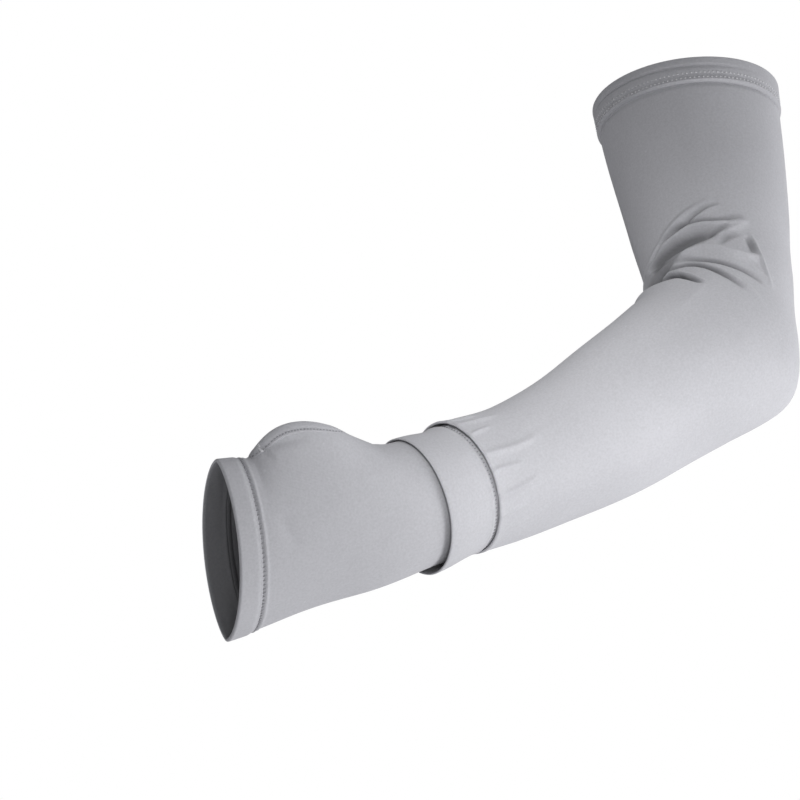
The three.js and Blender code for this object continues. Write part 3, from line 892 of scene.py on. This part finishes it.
# %% Knit material
def knit_material(name, colour, girth):
    material, tree, shader = new_material(name)
    uv = add(tree.nodes, "ShaderNodeUVMap", -1500, 0, uv_map="cloth")
    split = add(tree.nodes, "ShaderNodeSeparateXYZ", -1300, 0)
    tree.links.new(uv.outputs[0], split.inputs[0])
    wale = math_node(tree, "MULTIPLY", split.outputs[0], 2 * np.pi * girth / (0.55 * MM), -1100, 120)
    course = math_node(tree, "MULTIPLY", split.outputs[1], 2 * np.pi / (0.45 * MM), -1100, -120)
    wave = math_node(tree, "SINE", wale, None, -900, 120)
    leaning = math_node(tree, "ADD", course, math_node(tree, "MULTIPLY", wave, 1.6, -800, -60), -700, -120)
    loops = math_node(tree, "MULTIPLY", math_node(tree, "SINE", leaning, None, -560, -120), 0.5, -420, -120)
    height = math_node(tree, "ADD", loops, wave, -280, 0)
    bump = add(tree.nodes, "ShaderNodeBump", -100, -200)
    bump.inputs["Strength"].default_value = 0.16
    bump.inputs["Distance"].default_value = 0.12 * MM
    tree.links.new(height, bump.inputs["Height"])
    tree.links.new(bump.outputs[0], shader.inputs["Normal"])
    place = add(tree.nodes, "ShaderNodeTexCoord", -1500, 500)
    broad = add(tree.nodes, "ShaderNodeTexNoise", -1200, 620)
    broad.inputs["Scale"].default_value = 22
    broad.inputs["Detail"].default_value = 3
    fleck = add(tree.nodes, "ShaderNodeTexNoise", -1200, 380)
    fleck.inputs["Scale"].default_value = 900
    fleck.inputs["Detail"].default_value = 2
    lint = add(tree.nodes, "ShaderNodeTexVoronoi", -1200, 900)
    lint.inputs["Scale"].default_value = 95
    for node in (broad, fleck, lint):
        tree.links.new(place.outputs["Object"], node.inputs["Vector"])
    mixed = math_node(tree, "ADD", math_node(tree, "MULTIPLY", broad.outputs[0], 0.35, -900, 620),
                      math_node(tree, "MULTIPLY", fleck.outputs[0], 0.65, -900, 380), -700, 500)
    ramp = add(tree.nodes, "ShaderNodeValToRGB", -500, 500)
    ramp.color_ramp.elements[0].position = 0.36
    ramp.color_ramp.elements[1].position = 0.64
    ramp.color_ramp.elements[0].color = [0.93 * c for c in colour] + [1]
    ramp.color_ramp.elements[1].color = [1.05 * c for c in colour] + [1]
    tree.links.new(mixed, ramp.inputs[0])
    dot = add(tree.nodes, "ShaderNodeValToRGB", -900, 900)
    dot.color_ramp.elements[0].position = 0.035
    dot.color_ramp.elements[0].color = (1, 1, 1, 1)
    dot.color_ramp.elements[1].position = 0.07
    dot.color_ramp.elements[1].color = (0, 0, 0, 1)
    tree.links.new(lint.outputs["Distance"], dot.inputs[0])
    tint = add(tree.nodes, "ShaderNodeMix", -200, 500, data_type="RGBA")
    tree.links.new(math_node(tree, "MULTIPLY", dot.outputs[0], 0.35, -500, 900), tint.inputs["Factor"])
    tree.links.new(ramp.outputs[0], tint.inputs[6])
    tint.inputs[7].default_value = [min(1.3 * c, 1) for c in colour] + [1]
    # painted shade: the vertex number 'shade' darkens the knit's colour toward a quarter of it in the fold
    # valleys and at the bend
    valley = add(tree.nodes, "ShaderNodeAttribute", -200, 800, attribute_name="shade")
    shaded = add(tree.nodes, "ShaderNodeMix", 0, 500, data_type="RGBA")
    tree.links.new(math_node(tree, "MULTIPLY", valley.outputs["Fac"], 0.8, -60, 800), shaded.inputs["Factor"])
    tree.links.new(tint.outputs[2], shaded.inputs[6])
    shaded.inputs[7].default_value = [0.25 * c for c in colour] + [1]
    tree.links.new(shaded.outputs[2], shader.inputs["Base Color"])
    uneven = math_node(tree, "MULTIPLY", fleck.outputs[0], 0.12, -500, 250)
    rough = math_node(tree, "ADD", uneven, 0.78, -300, 250)
    tree.links.new(rough, shader.inputs["Roughness"])
    shader.inputs["Sheen Weight"].default_value = 0.12
    shader.inputs["Sheen Roughness"].default_value = 0.4
    shader.inputs["Specular IOR Level"].default_value = 0.25
    return material


GREY = (0.50, 0.50, 0.525)
arm_knit = knit_material("arm knit", GREY, 0.26)
hem_knit = knit_material("upper hem knit", [0.96 * c for c in GREY], 0.29)
band_knit = knit_material("band knit", GREY, 0.2)
hand_knit = knit_material("hand knit", [0.98 * c for c in GREY], 0.2)
hand_hem_knit = knit_material("hand hem knit", [0.96 * c for c in GREY], 0.2)
thumb_hem_knit = knit_material("thumb hem knit", [0.95 * c for c in GREY], 0.105)
# the inner side is half as bright as the outside: partly the knit's matt back, partly painted shade for the
# hollow inside the sleeve
inner_knit_and_painted_shade = knit_material("inner side of the knit with painted shade", [0.5 * c for c in GREY], 0.23)
print("knit materials: 7")

# %% [markdown]
# ### Thread
# The thread is a twisted yarn, a little smoother than the cloth. It is lighter than the cloth on the
# upper hem. In the other seams it is darkened as painted shade, where it lies in shade. Fine bands stand for
# the twist.

# %% Thread material
def thread_material(name, colour):
    material, tree, shader = new_material(name)
    place = add(tree.nodes, "ShaderNodeTexCoord", -900, 0)
    twist = add(tree.nodes, "ShaderNodeTexWave", -700, 0)
    twist.inputs["Scale"].default_value = 900
    twist.inputs["Distortion"].default_value = 2
    tree.links.new(place.outputs["Object"], twist.inputs["Vector"])
    ramp = add(tree.nodes, "ShaderNodeValToRGB", -450, 100)
    ramp.color_ramp.elements[0].color = [0.85 * c for c in colour] + [1]
    ramp.color_ramp.elements[1].color = [1.05 * c for c in colour] + [1]
    tree.links.new(twist.outputs[0], ramp.inputs[0])
    tree.links.new(ramp.outputs[0], shader.inputs["Base Color"])
    bump = add(tree.nodes, "ShaderNodeBump", -300, -200)
    bump.inputs["Strength"].default_value = 0.3
    bump.inputs["Distance"].default_value = 0.05 * MM
    tree.links.new(twist.outputs[0], bump.inputs["Height"])
    tree.links.new(bump.outputs[0], shader.inputs["Normal"])
    shader.inputs["Roughness"].default_value = 0.55
    shader.inputs["Sheen Weight"].default_value = 0.1
    return material


light_thread = thread_material("light thread", (0.72, 0.72, 0.74))
# painted shade: the thread of the wrist, hand hem and thumb hole seams is darkened where it lies in shade
thread_with_painted_shade = thread_material("thread with painted shade", (0.30, 0.30, 0.32))

# %% [markdown]
# Every piece rides on the one body, stands for its solid and takes the slot of its finish. The hems,
# the band and the hand cover are cut 4 to 8% narrower than they measure round the arm, because the
# knit stretches. The tube is cut about as wide as its mean girth.

# %% Register the pieces
def dress(obj, material, node=None):
    obj.data.materials.append(material)
    if node:
        obj.data.materials.append(inner_knit_and_painted_shade)
    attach(obj, "root")
    if node:
        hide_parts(node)


dress(arm_tube, arm_knit, "arm_tube")
dress(upper_hem, hem_knit, "upper_hem")
dress(wrist_band, band_knit, "wrist_band")
dress(hand_cover, hand_knit, "hand_cover")
dress(hand_hem, hand_hem_knit, "hand_hem")
dress(thumb_hem, thumb_hem_knit)
dress(upper_stitches, light_thread)
dress(wrist_stitches, thread_with_painted_shade)
dress(hand_stitches, thread_with_painted_shade)
dress(thumb_stitches, thread_with_painted_shade)
dress(bartack, light_thread)

# %% [markdown]
# ## Camera, floor and light
# The camera looks up at the sleeve from in front and below, with a long lens. A soft light stands low
# at the right, two soft spots in front lift the forearm, and a surround that is brightest at the right
# fills the rest. The surround is white to the camera, and the pale floor lies well below.

# %% Camera
def look_from(name, place, forward, up, lens):
    data = bpy.data.cameras.new(name)
    data.lens = lens
    camera = make_object(name, data)
    forward = Vector(forward).normalized()
    right = forward.cross(Vector(up)).normalized()
    over = right.cross(forward)
    camera.matrix_world = Matrix((
        (right.x, over.x, -forward.x, place[0]),
        (right.y, over.y, -forward.y, place[1]),
        (right.z, over.z, -forward.z, place[2]),
        (0, 0, 0, 1)))
    bpy.context.scene.camera = camera
    return camera


camera = look_from("camera", (-0.39706, -1.25523, -0.7597), (0.15888, 0.89561, 0.4155),
                   (0.02317, -0.42411, 0.90531), 123.17)
print("camera at", [round(v, 3) for v in camera.location])

# %% Floor
FLOOR_Z = -1.05
bm = bmesh.new()
bmesh.ops.create_grid(bm, x_segments=1, y_segments=1, size=40, matrix=Matrix.Translation((0, 0, FLOOR_Z)))
floor_mesh = bpy.data.meshes.new("pale_floor")
bm.to_mesh(floor_mesh)
bm.free()
pale_floor = make_object("pale_floor", floor_mesh)
floor_material, floor_tree, floor_shader = new_material("pale floor")
floor_shader.inputs["Base Color"].default_value = (0.85, 0.85, 0.86, 1)
floor_shader.inputs["Roughness"].default_value = 0.9
floor_shader.inputs["Emission Color"].default_value = (1, 1, 1, 1)
floor_shader.inputs["Emission Strength"].default_value = 0.14
pale_floor.data.materials.append(floor_material)

# %% Light
def aimed_light(name, data, place, target, power):
    data.energy = power
    light = make_object(name, data)
    aim = Vector(target) - Vector(place)
    light.matrix_world = Matrix.Translation(place) @ aim.to_track_quat("-Z", "Y").to_matrix().to_4x4()
    light.visible_camera = False


def soft_light(name, place, target, size, power):
    data = bpy.data.lights.new(name, "AREA")
    data.shape = "SQUARE"
    data.size = size
    aimed_light(name, data, place, target, power)


def soft_spot(name, place, target, spread_angle, power):
    data = bpy.data.lights.new(name, "SPOT")
    data.spot_size = np.radians(spread_angle)
    data.spot_blend = 1
    data.shadow_soft_size = 0.12
    aimed_light(name, data, place, target, power)


soft_light("low_light", (0.297, -0.123, -0.622), (-0.118, -0.03, -0.16), 0.3, 2.16)
soft_spot("front_light", (-0.3, -0.9, 0.2), (-0.10, -0.05, -0.19), 20, 27.5)
soft_spot("lower_front_light", (-0.15, -1.1, -0.6), (-0.10, -0.05, -0.21), 20, 13.8)


def pale_world(sides):
    """A surround with six soft sides: how bright it is toward +X and -X, +Y and -Y, +Z and -Z."""
    world = bpy.data.worlds.new("pale surround")
    world.use_nodes = True
    tree = world.node_tree
    for node in list(tree.nodes):
        tree.nodes.remove(node)
    path = add(tree.nodes, "ShaderNodeLightPath", -600, 300)
    fill = add(tree.nodes, "ShaderNodeBackground", -400, 0)
    fill.inputs["Color"].default_value = (0.97, 0.975, 1.0, 1)
    where = add(tree.nodes, "ShaderNodeTexCoord", -1600, 0)
    split = add(tree.nodes, "ShaderNodeSeparateXYZ", -1400, 0)
    tree.links.new(where.outputs["Generated"], split.inputs[0])
    total = 0.0
    for k, (plus, minus) in enumerate(sides):
        y = 300 * k
        ahead = math_node(tree, "GREATER_THAN", split.outputs[k], 0.0, -1200, y)
        bright = math_node(tree, "MULTIPLY", ahead, plus - minus, -1050, y)
        bright = math_node(tree, "ADD", bright, minus, -900, y)
        squared = math_node(tree, "MULTIPLY", split.outputs[k], split.outputs[k], -1200, y + 150)
        total = math_node(tree, "ADD", math_node(tree, "MULTIPLY", bright, squared, -750, y), total, -600, y)
    tree.links.new(total, fill.inputs["Strength"])
    white = add(tree.nodes, "ShaderNodeBackground", -400, -200)
    mix = add(tree.nodes, "ShaderNodeMixShader", -100, 0)
    out = add(tree.nodes, "ShaderNodeOutputWorld", 150, 0)
    white.inputs["Color"].default_value = (1, 1, 1, 1)
    tree.links.new(path.outputs["Is Camera Ray"], mix.inputs[0])
    tree.links.new(fill.outputs[0], mix.inputs[1])
    tree.links.new(white.outputs[0], mix.inputs[2])
    tree.links.new(mix.outputs[0], out.inputs[0])
    bpy.context.scene.world = world


pale_world(((1.9, 0.07), (0.56, 0.05), (0.18, 0.08)))
bpy.context.scene.view_settings.view_transform = "Standard"

# %% Finish
bpy.context.view_layer.update()
